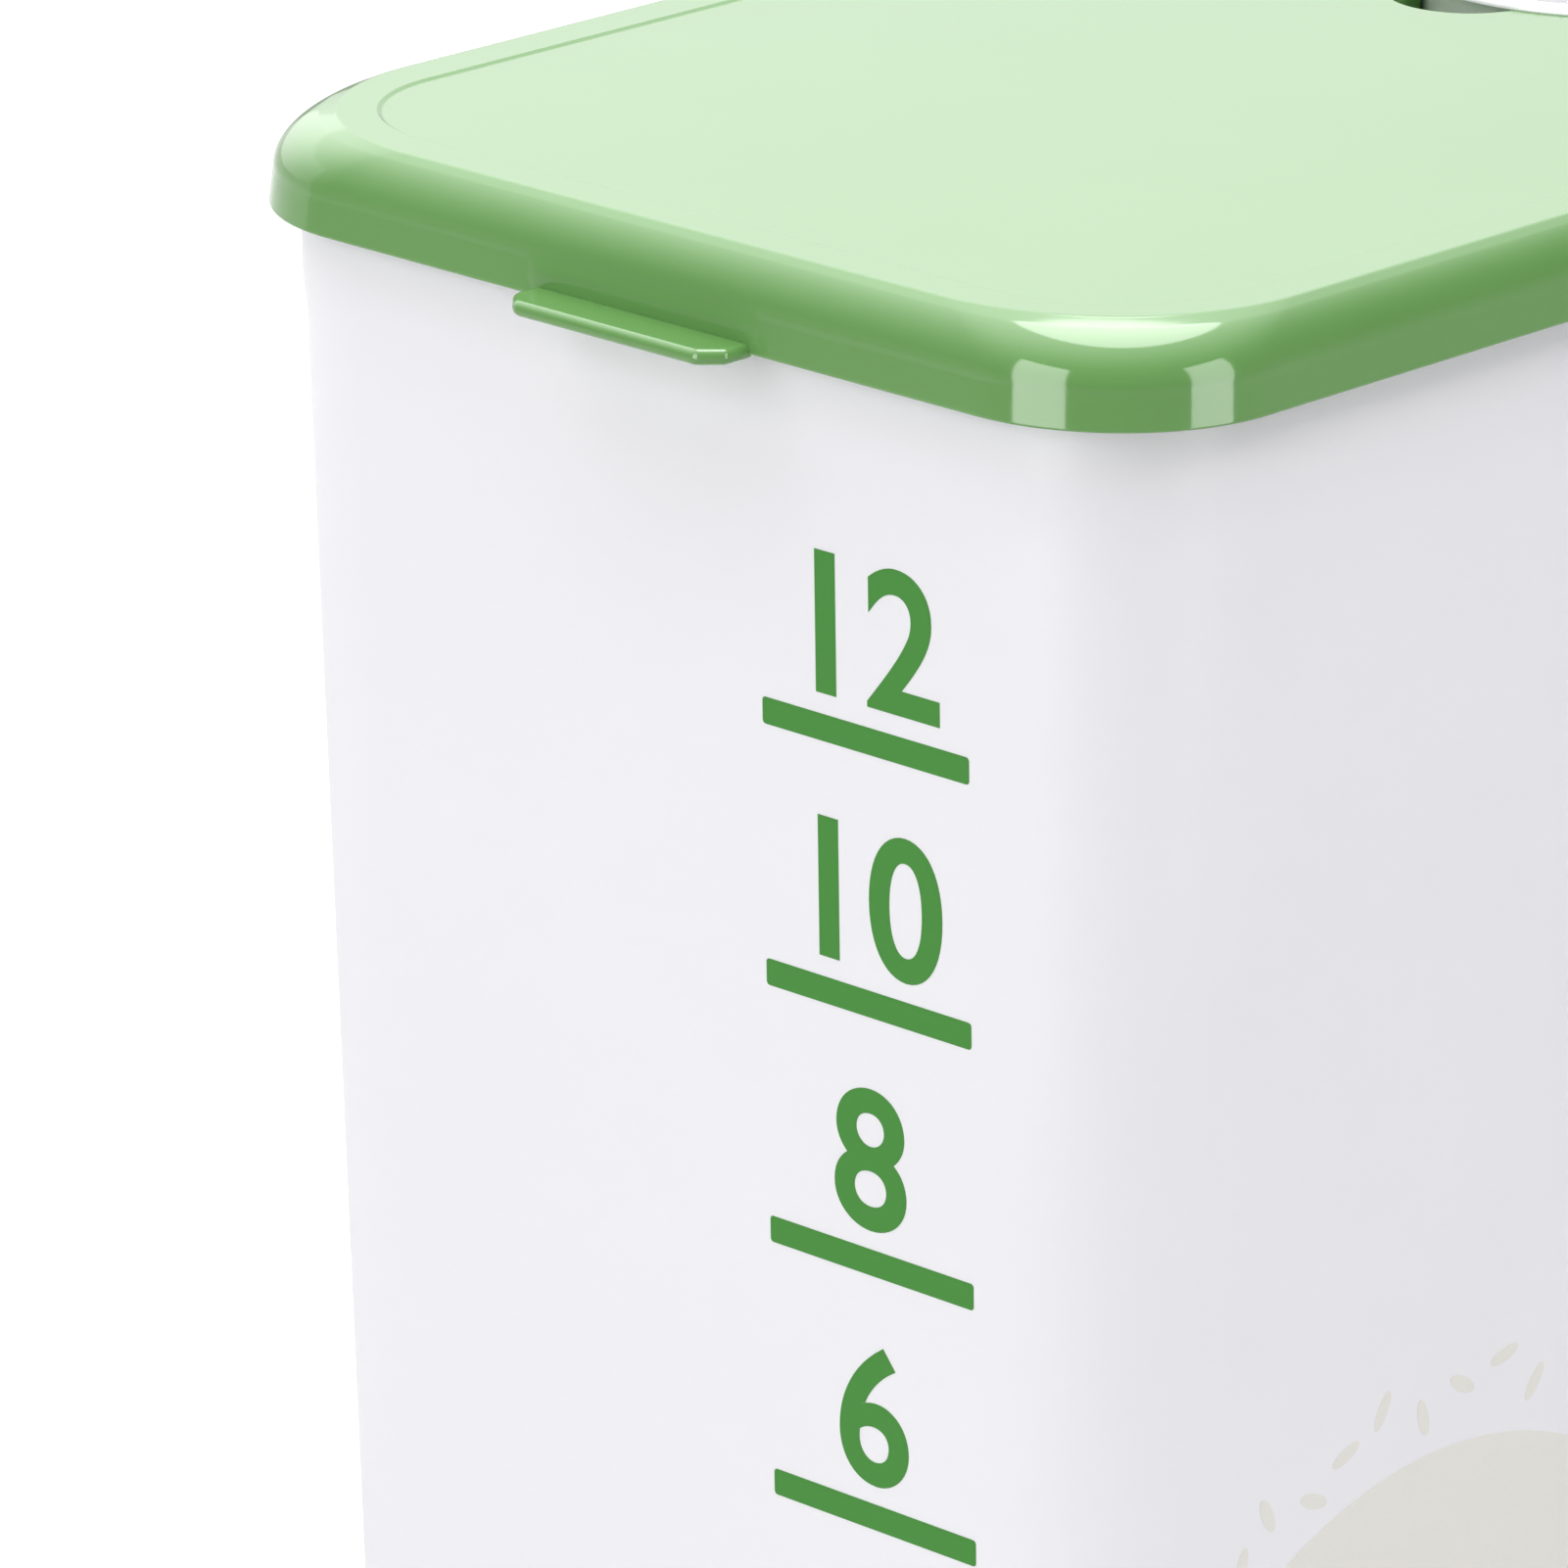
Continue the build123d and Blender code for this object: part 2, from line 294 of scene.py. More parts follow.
def satinPolypropylene(name, look):
    material, tree, place = startMaterial(name)
    flow = addNode(tree, "ShaderNodeTexNoise", {
        "Vector": place, "Scale": perSize(look["flowMm"]), "Detail": 2.0})
    grain = addNode(tree, "ShaderNodeTexNoise", {
        "Vector": place, "Scale": perSize(look["grainMm"]), "Detail": 2.0})
    skin = addNode(tree, "ShaderNodeBump", {
        "Height": grain.outputs["Fac"], "Distance": look["grainRiseMm"] / perMetre, "Strength": 1.0})
    finishMaterial(tree, look, flow, grain, skin, {"IOR": 1.49, "Specular IOR Level": 0.2})
    return material


# Liquid silicone rubber, clear to milky, moulded matt: it grips the tub's rim.
sealRubber = {"low": "#d9d8d2", "high": "#e2e1dc", "grainMm": 0.7, "grainRiseMm": 0.01,
              "roughness": (0.5, 0.58)}
# Thermoplastic rubber, mid grey, eroded mould surface.
footRubber = {"low": "#6c6d6e", "high": "#777879", "grainMm": 0.6, "grainRiseMm": 0.02,
              "roughness": (0.66, 0.76)}


def mattRubber(name, look):
    material, tree, place = startMaterial(name)
    grain = addNode(tree, "ShaderNodeTexNoise", {
        "Vector": place, "Scale": perSize(look["grainMm"]), "Detail": 3.0})
    skin = addNode(tree, "ShaderNodeBump", {
        "Height": grain.outputs["Fac"], "Distance": look["grainRiseMm"] / perMetre, "Strength": 1.0})
    finishMaterial(tree, look, grain, grain, skin, {"IOR": 1.43})
    return material


# Stainless steel drawn through a die: fine lines along the pin, drawn far coarser than the real 0.02 mm ones.
pinSteel = {"low": "#a9a9a8", "high": "#bdbdbb", "lineMm": 0.35, "lineRiseMm": 0.004, "stretch": 50.0,
            "roughness": (0.24, 0.36)}


def drawnSteel(name, look):
    material, tree, place = startMaterial(name)
    along = addNode(tree, "ShaderNodeMapping", {"Vector": place, "Scale": (1 / look["stretch"], 1.0, 1.0)})
    lines = addNode(tree, "ShaderNodeTexNoise", {
        "Vector": along.outputs["Vector"], "Scale": perSize(look["lineMm"]), "Detail": 3.0})
    skin = addNode(tree, "ShaderNodeBump", {
        "Height": lines.outputs["Fac"], "Distance": look["lineRiseMm"] / perMetre, "Strength": 1.0})
    finishMaterial(tree, look, lines, lines, skin, {"Metallic": 1.0})
    return material


# Screen-printing ink, laid through a mesh of about 0.5 mm as seen: solid colour with a slight tooth.
levelInk = {"low": "#3f8533", "high": "#438936", "meshMm": 0.5, "meshRiseMm": 0.004, "roughness": (0.42, 0.5)}
grainInk = {"low": "#e1dfd9", "high": "#e6e4de", "meshMm": 0.5, "meshRiseMm": 0.004, "roughness": (0.42, 0.5)}


def screenInk(name, look):
    material, tree, place = startMaterial(name)
    tooth = addNode(tree, "ShaderNodeTexNoise", {
        "Vector": place, "Scale": perSize(look["meshMm"]), "Detail": 1.0})
    skin = addNode(tree, "ShaderNodeBump", {
        "Height": tooth.outputs["Fac"], "Distance": look["meshRiseMm"] / perMetre, "Strength": 1.0})
    finishMaterial(tree, look, tooth, tooth, skin, {"IOR": 1.48, "Specular IOR Level": 0.2})
    return material


lidGreen = glossPolypropylene("gloss green polypropylene", lidPlastic)
cupWhite = glossPolypropylene("gloss white polypropylene", cupPlastic)
tubWhite = satinPolypropylene("satin milky polypropylene", tubPlastic)
sealMaterial = mattRubber("milky silicone rubber", sealRubber)
footMaterial = mattRubber("grey thermoplastic rubber", footRubber)
steelMaterial = drawnSteel("drawn stainless steel", pinSteel)
levelMaterial = screenInk("green screen ink", levelInk)
grainMaterial = screenInk("sand screen ink", grainInk)
print("materials made")

lid = {
    "height": 15.4, "skirtHeight": 6.0, "skirtFlare": 0.5, "skirtCorner": 32.0, "skirtRows": 15,
    "shoulderRun": 6.1, "shoulderCorner": 38.5, "shoulderEnd": 70.0, "shoulderRows": 24, "creaseRound": 1.6,
    "creaseRows": 3, "edgeRows": 1,       # rows left out where a rounded edge takes their place
    "panelInset": 13.8, "panelCorner": 27.3, "panelRecess": 0.4, "stepRun": 0.8, "stepRound": 0.5,
    "wall": 2.0, "seatThickness": 3.6, "undersideRun": 1.5, "mouldedEdge": 0.45,
    "ribOuterInset": 8.7, "ribCorner": 23.7, "ribWidth": 1.5, "ribDrop": 2.0, "ribEdge": 0.3,
    "rootRound": 0.8, "flatBorder": 1.5,
}
tab = {"width": 46.7, "reach": 8.5, "thickness": 2.6, "drop": 0.9, "chamfer": 3.6, "cornerRound": 2.6,
       "cornerSteps": 8, "edgeRound": 1.2}
pad = {"width": 51.0, "height": 5.6, "thickness": 0.35, "corner": 2.4, "ramp": 3.0, "columnStep": 0.3,
       "columnsIn": 12, "columnsOut": 5}
well = {"clearance": 0.7, "wall": 1.8, "mouth": 33.8, "base": 30.5, "floorGap": 1.0, "floorRound": 2.0,
        "flange": 1.2, "rebate": 0.6, "rebateGap": 0.5, "stepRound": 0.3, "runDown": 0.3, "steps": 96,
        "brimRound": 0.4, "rootRound": 1.0}
notch = {"radius": 13.0, "ahead": 33.2, "offset": -4.4, "depth": 14.0, "steps": 28, "floorRound": 1.4}
# Angles round the hinge start at the front and go up over it.
hinge = {"setback": 4.5, "drop": 3.0, "barrel": 4.0, "pin": 2.0, "knuckle": 14.0, "ear": 10.0,
         "sideGap": 0.4, "fromSide": 47.5, "topGap": 0.7, "knuckleRise": 8.3, "knuckleShoulder": 2.0,
         "knuckleArc": (60, -120), "earArc": (140, 270), "arcStep": 10, "boreSteps": 48, "cornerSteps": 6,
         "toeReach": 7.0, "toeStart": 200.0, "toeEnd": 225.0, "opening": 110.0, "stopGap": 3.0,
         "stopClearance": 0.3, "gusset": 12.0, "armBeyond": 1.2, "edge": 0.5, "toeRound": 0.8,
         "rearRound": 1.2, "shoulderRound": 2.5, "earBore": 0.02, "knuckleBore": 0.06}

lidLow, lidHigh = nodeBox("flip_lid")
tubLow, tubHigh = nodeBox("bin_body")
cupLow, cupHigh = nodeBox("measuring_cup")
hingeJoint = next(joint for joint in frame["joints"] if joint["name"] == "lid_hinge")
hingeAxis = Vector(hingeJoint["pos_m"]) * perMetre
lidLeft, lidRight = lidLow.x, lidHigh.x
lidFront, lidBack = lidLow.y + tab["reach"], hingeAxis.y - hinge["setback"]
rimTop = lidHigh.z
skirtBottom = rimTop - lid["height"]
skirtTop = skirtBottom + lid["skirtHeight"]
panelTop = rimTop - lid["panelRecess"]
panelBottom = panelTop - lid["wall"]
cupY = (cupLow.y + cupHigh.y) / 2
hingePlaces = [lidLeft + hinge["fromSide"], lidRight - hinge["fromSide"]]


def planRing(inset, height, radius, columns=()):
    # the lid's outline seen from above, drawn in by inset; columns are extra points along the front
    left, right, front, back = lidLeft + inset, lidRight - inset, lidFront + inset, lidBack - inset
    points = [(x, front, height) for x in columns]
    corners = [(right - radius, front + radius, -90), (right - radius, back - radius, 0),
               (left + radius, back - radius, 90), (left + radius, front + radius, 180)]
    for x, y, start in corners:
        for step in range(cornerSteps + 1):
            turn = math.radians(start + 90 * step / cornerSteps)
            points.append((x + radius * math.cos(turn), y + radius * math.sin(turn), height))
    return points


def mouthRing(wellRadius, notchRadius, height):
    # the outline of the round well and the finger notch together, and the well's own arc inside the notch
    notchX, notchY = notch["offset"], cupY - notch["ahead"]
    apart = math.hypot(notchX, notchY - cupY)
    facing = math.atan2(notchY - cupY, notchX)
    near = (wellRadius ** 2 - notchRadius ** 2 + apart ** 2) / (2 * apart)
    wellHalf = math.acos(near / wellRadius)
    notchHalf = math.acos((apart - near) / notchRadius)
    outer = []
    for step in range(well["steps"] + 1):
        turn = facing + wellHalf + (math.tau - 2 * wellHalf) * step / well["steps"]
        outer.append((wellRadius * math.cos(turn), cupY + wellRadius * math.sin(turn), height))
    inner = []
    for step in range(1, notch["steps"]):
        share = step / notch["steps"]
        turn = facing + math.pi + notchHalf + (math.tau - 2 * notchHalf) * share
        outer.append((notchX + notchRadius * math.cos(turn), notchY + notchRadius * math.sin(turn), height))
        turn = facing - wellHalf + 2 * wellHalf * share
        inner.append((wellRadius * math.cos(turn), cupY + wellRadius * math.sin(turn), height))
    return outer, inner


def padLift(x, z):
    # how far the raised pad over the tab stands out of the skirt
    low = skirtBottom + tab["thickness"] - tab["drop"] - overlap
    middle, half = low + (pad["height"] + overlap) / 2, (pad["height"] + overlap) / 2
    acrossX = abs(x) - pad["width"] / 2 + pad["corner"]
    acrossZ = abs(z - middle) - half + pad["corner"]
    outside = math.hypot(max(acrossX, 0), max(acrossZ, 0)) + min(max(acrossX, acrossZ), 0) - pad["corner"]
    return pad["thickness"] * eased(min(max(-outside / pad["ramp"], 0), 1))


def lidProfile():
    # the lid's section, from the edge of the panel's top, over the rim and skirt, to the panel's underside
    inset, edge = lid["panelInset"], lid["mouldedEdge"]
    rib, ribCorner = lid["ribOuterInset"], lid["ribCorner"]
    seat = panelBottom - lid["seatThickness"]
    innerCorner = lid["skirtCorner"] - lid["wall"]
    border, ribBorder = lid["stepRun"] + lid["flatBorder"], lid["ribWidth"] + lid["flatBorder"]
    points = [
        (inset + border, panelTop, lid["panelCorner"] - border, 0),
        (inset + lid["stepRun"], panelTop, lid["panelCorner"] - lid["stepRun"], lid["stepRound"]),
        (inset, rimTop, lid["panelCorner"], lid["stepRound"]),
        (lid["shoulderRun"], rimTop, lid["shoulderCorner"], lid["creaseRound"])]
    end = math.radians(lid["shoulderEnd"])
    for step in range(lid["shoulderRows"] - lid["creaseRows"] - 1, -1, -1):
        turn = end * step / lid["shoulderRows"]
        inward = (1 - math.cos(turn)) / (1 - math.cos(end))
        height = skirtTop + (rimTop - skirtTop) * math.sin(turn) / math.sin(end)
        points.append((lid["skirtFlare"] + (lid["shoulderRun"] - lid["skirtFlare"]) * inward, height,
                       lid["skirtCorner"] + (lid["shoulderCorner"] - lid["skirtCorner"]) * inward, 0))
    for row in range(1, lid["skirtRows"] - lid["edgeRows"]):
        share = 1 - row / lid["skirtRows"]
        height = skirtBottom + lid["skirtHeight"] * share
        points.append((lid["skirtFlare"] * share, height, lid["skirtCorner"], 0))
    points += [
        (0, skirtBottom, lid["skirtCorner"], edge),
        (lid["wall"], skirtBottom, innerCorner, edge),
        (lid["wall"], skirtTop, innerCorner, lid["rootRound"]),
        (lid["wall"] + lid["undersideRun"], seat, innerCorner, lid["ribEdge"]),
        (rib, seat, ribCorner, lid["ribEdge"]),
        (rib, seat - lid["ribDrop"], ribCorner, lid["ribEdge"]),
        (rib + lid["ribWidth"], seat - lid["ribDrop"], ribCorner - lid["ribWidth"], lid["ribEdge"]),
        (rib + lid["ribWidth"], panelBottom, ribCorner - lid["ribWidth"], lid["rootRound"]),
        (rib + ribBorder, panelBottom, ribCorner - ribBorder, 0)]
    return roundedProfile(points)


def wellWall(bm, grow, flatHeight, brim):
    # one side of the well and notch: from the panel down past the notch's floor to the well's own floor
    # grow is 0 for the inside and the wall's thickness for the side that hangs under the panel
    wellFloor = cupLow.z - well["floorGap"] - grow
    notchFloor = panelTop - notch["depth"] - grow
    ledge = panelTop - well["rebate"]
    lean = (well["mouth"] - well["base"]) / (ledge - cupLow.z + well["floorGap"])

    def wellRadius(height):
        return well["mouth"] + well["clearance"] + grow - lean * (ledge - height)

    rebateRadius = (cupHigh.x - cupLow.x) / 2 + well["rebateGap"]
    rings = []
    for step in range(edgeSteps + 1):
        turn = math.pi / 2 * step / edgeSteps
        spread = brim * (1 - math.sin(turn))
        height = flatHeight - brim * (1 - math.cos(turn))
        mouthRadius = wellRadius(height) if grow else rebateRadius
        rings.append(mouthRing(mouthRadius + spread, notch["radius"] + grow + spread, height)[0])
    if not grow:
        # the ledge that the cup's flange lies on; in the notch the same rings simply run on down its wall
        edge, inside = well["stepRound"], wellRadius(ledge)
        ledgeRings = ((rebateRadius, ledge), (inside + edge, ledge), (inside, ledge - edge))
        for order, (radius, height) in enumerate(ledgeRings, 1):
            ring = mouthRing(radius, notch["radius"], height)[0]
            rings.append([(x, y, z if index <= well["steps"] else ledge - well["runDown"] * order)
                          for index, (x, y, z) in enumerate(ring)])
    for step in range(edgeSteps + 1):
        turn = math.pi / 2 * step / edgeSteps
        height = notchFloor + notch["floorRound"] * (1 - math.sin(turn))
        shrink = notch["floorRound"] * (1 - math.cos(turn))
        outer, inner = mouthRing(wellRadius(height), notch["radius"] + grow - shrink, height)
        rings.append(outer)
    mouth, shelf = stackRings(bm, rings)
    arc = shelf[:well["steps"] + 1]
    lip = addRing(bm, inner)
    bridge(bm, [arc[-1]] + shelf[well["steps"] + 1:] + [arc[0]], [arc[-1]] + lip + [arc[0]])
    turns = [math.atan2(vert.co.y - cupY, vert.co.x) for vert in arc + lip]

    def tube(radius, height):
        points = [(radius * math.cos(turn), cupY + radius * math.sin(turn), height) for turn in turns]
        return addRing(bm, points)

    last = arc + lip
    for step in range(edgeSteps + 1):
        turn = math.pi / 2 * step / edgeSteps
        height = wellFloor + well["floorRound"] * (1 - math.sin(turn))
        ring = tube(wellRadius(height) - well["floorRound"] * (1 - math.cos(turn)), height)
        bridge(bm, last, ring)
        last = ring
    bm.faces.new(last)
    return mouth


def makeLidShell():
    bm = bmesh.new()
    steps = range(-pad["columnsIn"], pad["columnsOut"])
    edges = [pad["width"] / 2 + pad["columnStep"] * step for step in steps]
    columns = sorted([-edge for edge in edges] + [0] + edges)
    rings = []
    for inset, height, radius in lidProfile():
        ring = planRing(inset, height, radius, columns)
        if inset < lid["wall"] - lid["mouldedEdge"]:
            front = [(x, y - padLift(x, z), z) for x, y, z in ring[:len(columns)]]
            ring = front + ring[len(columns):]
        rings.append(ring)
    top, underside = stackRings(bm, rings)
    inner = wellWall(bm, 0.0, panelTop, well["brimRound"])
    outer = wellWall(bm, well["wall"], panelBottom, well["rootRound"])
    fillFlat(bm, [top, inner])
    fillFlat(bm, [underside, outer])
    return makeObject("lidShell", bm)


def makeTab():
    half, tip, root = tab["width"] / 2, lidFront - tab["reach"], lidFront + overlap
    cut, bend = tab["chamfer"], tab["cornerRound"]
    outline = [(-half, root, 0), (-half, tip + cut, bend), (-half + cut, tip, bend),
               (half - cut, tip, bend), (half, tip + cut, bend), (half, root, 0)]
    low = skirtBottom - tab["drop"]
    return extrudeOutline(roundCorners(outline, tab["cornerSteps"]), lambda u, v, depth: (u, v, depth),
                          low, low + tab["thickness"], tab["edgeRound"])


def hingePoint(forward, up):
    return (hingeAxis.y - forward, hingeAxis.z + up)


def hingeRay(angle, distance):
    turn = math.radians(angle)
    return hingePoint(distance * math.cos(turn), distance * math.sin(turn))


def acrossHinge(points, width, x, rounding):
    return extrudeOutline(points, lambda u, v, depth: (depth, u, v), x - width / 2, x + width / 2, rounding)


def barrelPoints(radius):
    return [hingeRay(360 * step / hinge["boreSteps"], radius) for step in range(hinge["boreSteps"])]


def barrelArc(first, last):
    # the barrel's outline between two angles, both of them included
    way = 1 if last > first else -1
    return [hingeRay(angle, hinge["barrel"]) for angle in range(first, last + way, way * hinge["arcStep"])]


def makeKnuckle(x):
    # the lid's knuckle: a barrel with an arm up to the skirt and a toe that meets the tub's stop
    face = lidBack - overlap
    low = hingeAxis.z + hinge["drop"] + hinge["topGap"]
    high = hingeAxis.z + hinge["knuckleRise"]
    barrel = barrelArc(*hinge["knuckleArc"]) + [hingeRay(hinge["toeEnd"], hinge["barrel"])]
    toe = [(*hingeRay(hinge[key], hinge["toeReach"]), hinge["toeRound"]) for key in ("toeEnd", "toeStart")]
    rear = [(*hingeRay(180, hinge["barrel"]), hinge["rearRound"]),
            (lidBack + hinge["knuckleShoulder"], high, hinge["shoulderRound"]), (face, high, 0)]
    outline = [(face, low, 0)] + [(*spot, 0) for spot in barrel] + toe + rear
    return acrossHinge(roundCorners(outline, hinge["cornerSteps"]), hinge["knuckle"], x, hinge["edge"])


lidShell = makeLidShell()
combine(lidShell, [makeTab()] + [makeKnuckle(x) for x in hingePlaces], "UNION")
knuckleBore = barrelPoints(hinge["pin"] + hinge["knuckleBore"])
knuckleDrill = hinge["knuckle"] + 2 * overlap
combine(lidShell, [acrossHinge(knuckleBore, knuckleDrill, x, 0) for x in hingePlaces], "DIFFERENCE")
finishPiece(lidShell, lidGreen, "lid", ["flip_lid"])

tub = {
    "inset": 4.93, "draft": 1.7, "wall": 2.2, "floor": 2.5, "corner": 28.0, "baseCorner": 24.0,
    "baseRound": 5.0, "roundSteps": 8, "wallRows": 12, "flatBorder": 2.0,
    "bandInset": 4.9, "bandDrop": 9.0, "bandBlend": 9.0, "blendRows": 10, "rimEdge": 0.7,
    "footRadius": 10.15, "footDepth": 1.0, "footSteps": 48,
}
blendBottom = skirtBottom - tub["bandDrop"] - tub["bandBlend"]
armWall = lidBack - tub["bandInset"] - overlap       # where the ears start, inside the rear wall
armTop = hinge["drop"] - hinge["topGap"]             # their height over the pin


def wallInset(height):
    return tub["inset"] + math.tan(math.radians(tub["draft"])) * (skirtBottom - height)


def tubSide(shift, low, high):
    # the tub's section from its floor to its rim; shift is 0 outside and the wall's thickness inside
    radius = tub["baseRound"]
    corner = tub["baseCorner"] - shift
    flatInset = wallInset(low) + radius + shift
    points = [(flatInset + tub["flatBorder"], low, corner - radius - tub["flatBorder"])]
    for step in range(tub["roundSteps"] + 1):
        turn = math.radians(90 * step / tub["roundSteps"])
        height = low + radius * (1 - math.cos(turn))
        inward = radius * (1 - math.sin(turn))
        points.append((wallInset(height) + inward + shift, height, corner - inward))
    bottom = low + radius
    for row in range(1, tub["wallRows"] + 1):
        share = row / tub["wallRows"]
        height = bottom + (blendBottom - bottom) * share
        opened = (tub["corner"] - tub["baseCorner"]) * share
        points.append((wallInset(height) + shift, height, corner + opened))
    for row in range(1, tub["blendRows"] + 1):
        share = row / tub["blendRows"]
        height = blendBottom + tub["bandBlend"] * share
        inset = wallInset(height) * (1 - eased(share)) + tub["bandInset"] * eased(share)
        points.append((inset + shift, height, tub["corner"] - shift))
    for step in range(edgeSteps + 1):
        turn = math.pi / 2 * step / edgeSteps
        away = tub["rimEdge"] * (1 - math.cos(turn)) * (-1 if shift else 1)
        height = high - tub["rimEdge"] * (1 - math.sin(turn))
        points.append((tub["bandInset"] + shift + away, height, tub["corner"] - shift - away))
    return [planRing(*point) for point in points]


def makeTubShell():
    bm = bmesh.new()
    outside = tubSide(0.0, tubLow.z, tubHigh.z)
    inside = tubSide(tub["wall"], tubLow.z + tub["floor"], tubHigh.z)
    under, floor = stackRings(bm, outside + inside[::-1])
    bm.faces.new(floor)
    holes = []
    for node in footNodes:
        low, high = nodeBox(node)
        levels = (tubLow.z, tubLow.z + tub["footDepth"])
        hole, roof = stackRings(bm, [
            circleRing((low + high) / 2, tub["footRadius"], level, tub["footSteps"]) for level in levels])
        bm.faces.new(roof)
        holes.append(hole)
    fillFlat(bm, [under] + holes)
    return makeObject("tubShell", bm)


def makeEar(x):
    # a barrel on an arm and a gusset that run back from the rear wall
    arm = [(armWall, hingeAxis.z + armTop), hingePoint(-hinge["armBeyond"], armTop)]
    gusset = [(armWall, hingeAxis.z - hinge["barrel"] - hinge["gusset"])]
    return acrossHinge(arm + barrelArc(*hinge["earArc"]) + gusset, hinge["ear"], x, hinge["edge"])


def makeStop(x):
    # the web between two ears, whose lower face stops the lid's toe
    faceAngle = hinge["toeEnd"] + hinge["opening"] + hinge["stopGap"]
    near = hinge["barrel"] + hinge["sideGap"] + hinge["stopClearance"]
    outer = (armWall, hingeAxis.z + (hingeAxis.y - armWall) * math.tan(math.radians(faceAngle)))
    outline = [(armWall, hingeAxis.z + armTop), hingePoint(near, armTop), hingeRay(faceAngle, near), outer]
    return acrossHinge(outline, hinge["knuckle"] + 2 * hinge["sideGap"] + 2 * overlap, x, 0)


footNodes = sorted(name for name in frame["nodes"] if name.startswith("foot_pad"))
tubShell = makeTubShell()
earOffset = (hinge["knuckle"] + hinge["ear"]) / 2 + hinge["sideGap"]
earPlaces = [x + side * earOffset for x in hingePlaces for side in (-1, 1)]
combine(tubShell, [makeEar(x) for x in earPlaces] + [makeStop(x) for x in hingePlaces], "UNION")
earBore = barrelPoints(hinge["pin"] + hinge["earBore"])
earDrill = 2 * earOffset + hinge["ear"] + overlap
combine(tubShell, [acrossHinge(earBore, earDrill, x, 0) for x in hingePlaces], "DIFFERENCE")
finishPiece(tubShell, tubWhite, "bin", ["bin_body"])

# The front wall's print is a plain level scale: a numeral standing on a bar for each step.
levelScale = {"left": 20.5, "width": 44.0, "bar": 4.5, "firstDrop": 60.0, "spacing": 44.0, "corner": 0.6,
              "cornerSteps": 3, "numbers": (12, 10, 8, 6, 4, 2), "numeralSize": 33.0, "bolder": 0.55,
              "numeralGap": 4.0, "mergeWithin": 0.001}
# The right wall's print is a heap of grain: a low mound with loose grains round it.
grainHeap = {"middle": 92.0, "halfWidth": 70.0, "drop": 250.0, "rise": 60.0, "steps": 48,
             "grains": 24, "grainLong": 7.0, "grainWide": 2.6, "grainSteps": 20, "turnPerGrain": 137.5,
             "firstAngle": 11.0, "lastAngle": 169.0, "nearest": 1.09, "spread": 0.14}
ink = {"stand": 0.07, "sunk": 0.05, "cutStep": 1.5, "cuts": 28}


def onWall(side, along, drop, out):
    # a point on the tub's leaning wall: how far along it, how far under the skirt, how far out of it
    height = skirtBottom - drop
    inset = wallInset(height)
    if side == "front":
        return (along, lidFront + inset - out, height)
    # near the front the right wall's print bends with the tub's corner
    bottom = tubLow.z + tub["baseRound"]
    share = (height - bottom) / (blendBottom - bottom)
    radius = tub["baseCorner"] + (tub["corner"] - tub["baseCorner"]) * share
    bend = inset + radius
    turn, reach = max(bend - along, 0) / radius, radius + out
    behind = max(along - bend, 0)
    return (lidRight - bend + reach * math.cos(turn),
            lidFront + bend - reach * math.sin(turn) + behind,
            height)


def printOnWall(name, shapes, side, material):
    # lays flat shapes, drawn with their height downwards, on a wall as a thin film of ink
    film = bmesh.new()
    for bm in shapes:
        mesh = bpy.data.meshes.new("shape")
        bm.to_mesh(mesh)
        bm.free()
        film.from_mesh(mesh)
        bpy.data.meshes.remove(mesh)
    for cut in range(ink["cuts"] if side == "right" else 0):
        whole = film.verts[:] + film.edges[:] + film.faces[:]
        bmesh.ops.bisect_plane(film, geom=whole, plane_co=(ink["cutStep"] * cut, 0, 0), plane_no=(1, 0, 0))
    for vert in film.verts:
        vert.co = onWall(side, *vert.co)
    finishPiece(makeObject(name, film), material, "bin")


def flatShape(points):
    return extrudeOutline(points, lambda u, v, depth: (u, v, depth), -ink["sunk"], ink["stand"])


def barShape(drop):
    left, half, radius = levelScale["left"], levelScale["bar"] / 2, levelScale["corner"]
    right = left + levelScale["width"]
    corners = [(left, drop - half, radius), (right, drop - half, radius),
               (right, drop + half, radius), (left, drop + half, radius)]
    return flatShape(roundCorners(corners, levelScale["cornerSteps"]))


def numeralShape(number, middle, base):
    # a numeral in the plain built-in letter shapes, standing on base
    curve = bpy.data.curves.new("numeral", "FONT")
    curve.body = str(number)
    curve.size = levelScale["numeralSize"]
    curve.offset = levelScale["bolder"]
    curve.align_x = "CENTER"
    curve.extrude = (ink["stand"] + ink["sunk"]) / 2
    holder = bpy.data.objects.new("numeral", curve)
    mesh = bpy.data.meshes.new_from_object(holder)
    bm = bmesh.new()
    bm.from_mesh(mesh)
    bmesh.ops.remove_doubles(bm, verts=bm.verts, dist=levelScale["mergeWithin"])
    for vert in bm.verts:
        vert.co = (middle + vert.co.x, base - vert.co.y, vert.co.z + (ink["stand"] - ink["sunk"]) / 2)
    bpy.data.objects.remove(holder)
    bpy.data.meshes.remove(mesh)
    return bm


def makeLevelScale():
    shapes = []
    middle = levelScale["left"] + levelScale["width"] / 2
    for step, number in enumerate(levelScale["numbers"]):
        drop = levelScale["firstDrop"] + levelScale["spacing"] * step
        base = drop - levelScale["bar"] / 2 - levelScale["numeralGap"]
        shapes += [barShape(drop), numeralShape(number, middle, base)]
    printOnWall("levelScale", shapes, "front", levelMaterial)


def heapPoint(turn, away):
    # a point over the mound, at a turn round its foot and so many times its size from the middle
    across = grainHeap["halfWidth"] * away * math.cos(turn)
    up = grainHeap["rise"] * away * math.sin(turn)
    return grainHeap["middle"] - across, grainHeap["drop"] - up


